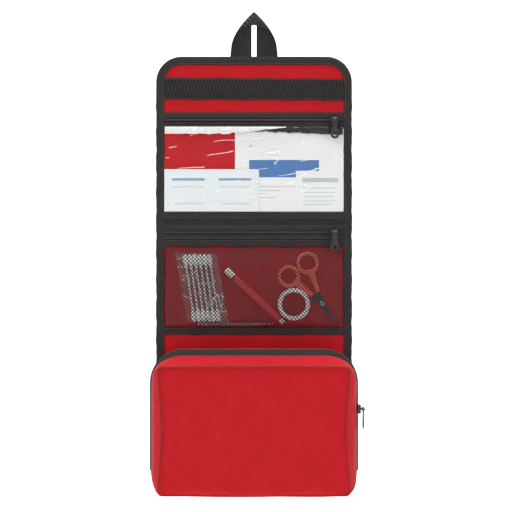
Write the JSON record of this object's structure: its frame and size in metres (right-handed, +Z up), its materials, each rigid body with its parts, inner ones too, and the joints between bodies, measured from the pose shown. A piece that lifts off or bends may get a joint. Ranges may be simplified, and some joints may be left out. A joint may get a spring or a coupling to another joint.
{
  "type": "first aid kit",
  "caption": "Hanging fold-out first aid kit with a webbing loop, clear and mesh zip pockets and a zipped pouch.",
  "frame": {"origin": "inner top of the hanging loop, where a hook or peg carries the kit", "axes": "+Z up, +X to the right seen from the front, the front with its pockets faces -Y"},
  "size_m": [0.2241, 0.0494, 0.5049],
  "materials": {
    "red_nylon": "matt woven",
    "black_webbing": "matt ribbed",
    "black_mesh": "open net",
    "clear_vinyl": "glossy",
    "bag_film": "glossy",
    "zip_metal": "satin",
    "steel": "satin",
    "white_paper": "satin",
    "white_cotton": "matt",
    "white_plastic": "satin",
    "red_plastic": "gloss",
    "orange_plastic": "satin"
  },
  "bodies": {
    "hanger": {"hang_loop": "black_webbing"},
    "flap": {"flap_panel": "red_nylon", "flap_binding": "black_webbing", "hook_strip": "black_webbing"},
    "upper": {"upper_panel": "red_nylon", "upper_binding_left": "black_webbing", "upper_binding_right": "black_webbing", "upper_zip_tape_top": "black_webbing", "upper_zip_tape_bottom": "black_webbing", "upper_zip_coil": "black_webbing", "clear_window": "clear_vinyl", "middle_band": "black_webbing", "alcohol_sachet_left": "white_paper", "alcohol_sachet_right": "white_paper", "dressing_packet": "white_paper", "relief_sachet": "white_paper"},
    "upper_zip_slider": {"upper_slider": "zip_metal"},
    "upper_zip_pull": {"upper_pull": "zip_metal"},
    "lower": {"lower_panel": "red_nylon", "lower_binding_left": "black_webbing", "lower_binding_right": "black_webbing", "lower_zip_tape_top": "black_webbing", "lower_zip_tape_bottom": "black_webbing", "lower_zip_coil": "black_webbing", "mesh_facing": "black_webbing", "mesh_window": "black_mesh", "bottom_band": "black_webbing", "swab_bag": "bag_film", "swab_1": "white_cotton", "swab_2": "white_cotton", "swab_3": "white_cotton", "swab_4": "white_cotton", "swab_5": "white_cotton", "swab_6": "white_cotton", "probe_handle": "red_plastic", "probe_cap": "white_plastic", "probe_fork": "white_plastic", "tape_roll": "white_cotton", "tweezers": "steel", "scissor_blade_fixed": "steel", "scissor_grip_fixed": "orange_plastic", "scissor_rivet": "steel"},
    "lower_zip_slider": {"lower_slider": "zip_metal"},
    "lower_zip_pull": {"lower_pull": "zip_metal"},
    "scissor_half": {"scissor_blade_moving": "steel", "scissor_grip_moving": "orange_plastic"},
    "pouch": {"pouch_back": "red_nylon", "loop_strip": "black_webbing", "rear_gusset": "red_nylon", "pouch_zip_tape_rear": "black_webbing", "pouch_zip_coil": "black_webbing", "bandage_roll_1": "white_cotton", "bandage_roll_2": "white_cotton"},
    "pouch_lid": {"pouch_zip_tape_front": "black_webbing", "front_gusset": "red_nylon", "front_panel": "red_nylon"},
    "pouch_zip_slider": {"pouch_slider": "zip_metal"},
    "pouch_zip_pull": {"pouch_pull": "zip_metal"}
  },
  "joints": [
    {"name": "loop_fold", "type": "hinge", "parent": "hanger", "child": "flap", "pos_m": [0, 0, -0.033], "axis": [-1, 0, 0], "range_deg": [0, 85]},
    {"name": "flap_fold", "type": "hinge", "parent": "flap", "child": "upper", "pos_m": [0, 0, -0.0872], "axis": [-1, 0, 0], "range_deg": [0, 90]},
    {"name": "middle_fold", "type": "hinge", "parent": "upper", "child": "lower", "pos_m": [0, 0, -0.2097], "axis": [-1, 0, 0], "range_deg": [0, 90]},
    {"name": "pouch_fold", "type": "hinge", "parent": "lower", "child": "pouch", "pos_m": [0, 0, -0.3342], "axis": [-1, 0, 0], "range_deg": [0, 72]},
    {"name": "pouch_opening", "type": "hinge", "parent": "pouch", "child": "pouch_lid", "pos_m": [0, -0.02475, -0.4922], "axis": [-1, 0, 0], "range_deg": [-60, 0]},
    {"name": "upper_zip", "type": "slide", "parent": "upper", "child": "upper_zip_slider", "axis": [1, 0, 0], "range_m": [-0.165, 0]},
    {"name": "upper_pull_swing", "type": "hinge", "parent": "upper_zip_slider", "child": "upper_zip_pull", "pos_m": [0.0849, -0.0094, -0.1018], "axis": [1, 0, 0], "range_deg": [-150, 0]},
    {"name": "lower_zip", "type": "slide", "parent": "lower", "child": "lower_zip_slider", "axis": [1, 0, 0], "range_m": [-0.165, 0]},
    {"name": "lower_pull_swing", "type": "hinge", "parent": "lower_zip_slider", "child": "lower_zip_pull", "pos_m": [0.0849, -0.0094, -0.2206], "axis": [1, 0, 0], "range_deg": [-150, 0]},
    {"name": "pouch_zip", "type": "slide", "parent": "pouch", "child": "pouch_zip_slider", "axis": [0, 0, 1], "range_m": [-0.055, 0]},
    {"name": "pouch_pull_swing", "type": "hinge", "parent": "pouch_zip_slider", "child": "pouch_zip_pull", "pos_m": [0.1134, -0.0239, -0.4042], "axis": [0, 1, 0], "range_deg": [-150, 0]},
    {"name": "scissor_pivot", "type": "hinge", "parent": "lower", "child": "scissor_half", "pos_m": [0.0722, -0.0018, -0.2955], "axis": [0, -1, 0], "range_deg": [-8, 0]}
  ]
}
